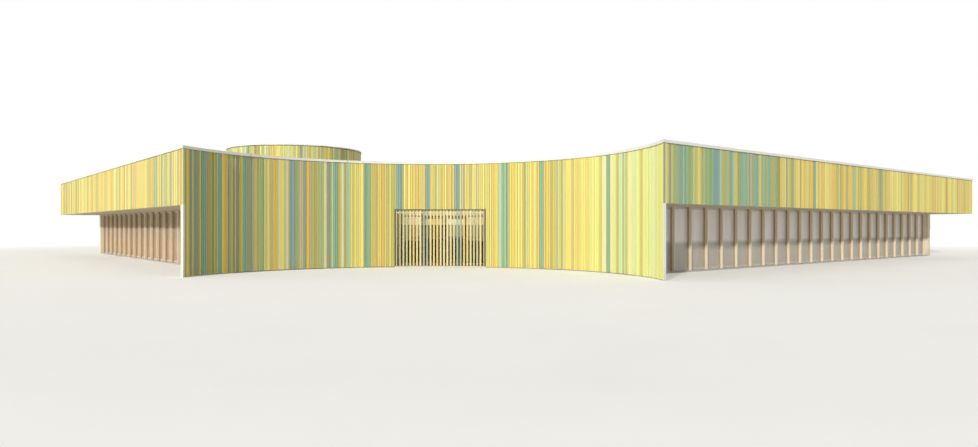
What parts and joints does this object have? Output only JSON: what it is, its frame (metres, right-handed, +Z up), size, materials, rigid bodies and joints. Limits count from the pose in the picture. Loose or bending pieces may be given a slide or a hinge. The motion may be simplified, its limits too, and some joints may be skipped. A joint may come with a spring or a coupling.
{
  "type": "school building",
  "caption": "One-storey school with a concave curved front, slatted entrance gates, glazed wings under a deep clad band, and a round roof drum; gates and doors turn.",
  "frame": {"origin": "on the ground at the middle of the bounding box in plan", "axes": "+X along the right wing's front away from the curved corner, +Y along the left wing's front away from it, +Z up"},
  "size_m": [39.88, 37.08, 6.11],
  "materials": {
    "concrete": "smooth concrete",
    "white_wall": "fine white render",
    "battens": "painted battens in yellow, ochre and green tones",
    "timber": "clear finished timber",
    "window_glass": "clear glass",
    "steel_frame": "dark satin paint",
    "roof_finish": "pale roofing membrane",
    "coping_metal": "folded white metal",
    "gate_slats": "painted slats in cream, ochre, blue and green"
  },
  "bodies": {
    "building": {"floor_slab": "concrete", "curved_wall_left": "white_wall", "curved_wall_right": "white_wall", "entrance_lintel": "white_wall", "corner_blades": "white_wall", "corner_posts": "white_wall", "end_posts": "white_wall", "cladding_curve_left": "battens", "cladding_curve_right": "battens", "cladding_over_entrance": "battens", "entrance_surround": "steel_frame", "porch_walls": "white_wall", "porch_ceiling": "white_wall", "entrance_frame": "steel_frame", "entrance_glass": "window_glass", "fins_right": "timber", "glass_right": "window_glass", "window_rails": "white_wall", "window_beams": "white_wall", "walk_soffits": "white_wall", "band_walls": "white_wall", "cladding_right": "battens", "fins_left": "timber", "glass_left": "window_glass", "cladding_left": "battens", "rear_wall": "white_wall", "rear_cladding": "battens", "rear_window_frames": "timber", "rear_glass": "window_glass", "side_wall": "white_wall", "side_cladding": "battens", "roof_slab": "roof_finish", "coping_front": "coping_metal", "coping_sides": "coping_metal", "drum_wall": "white_wall", "drum_cladding": "battens", "drum_roof": "roof_finish", "drum_coping": "coping_metal"},
    "gate_left": {"gate_left": "gate_slats"},
    "gate_right": {"gate_right": "gate_slats"},
    "door_left": {"door_left": "steel_frame", "door_glass_left": "window_glass"},
    "door_right": {"door_right": "steel_frame", "door_glass_right": "window_glass"}
  },
  "joints": [
    {"name": "gate_left_hinge", "type": "hinge", "parent": "building", "child": "gate_left", "pos_m": [-11.16743, -6.69887, 0], "axis": [0, 0, -1], "range_deg": [0, 90]},
    {"name": "gate_right_hinge", "type": "hinge", "parent": "building", "child": "gate_right", "pos_m": [-8.45249, -9.19538, 0], "axis": [0, 0, 1], "range_deg": [0, 90]},
    {"name": "door_left_hinge", "type": "hinge", "parent": "building", "child": "door_left", "pos_m": [-9.46902, -6.20978, 0], "axis": [0, 0, -1], "range_deg": [0, 90]},
    {"name": "door_right_hinge", "type": "hinge", "parent": "building", "child": "door_right", "pos_m": [-8.10724, -7.462, 0], "axis": [0, 0, 1], "range_deg": [0, 90]}
  ]
}
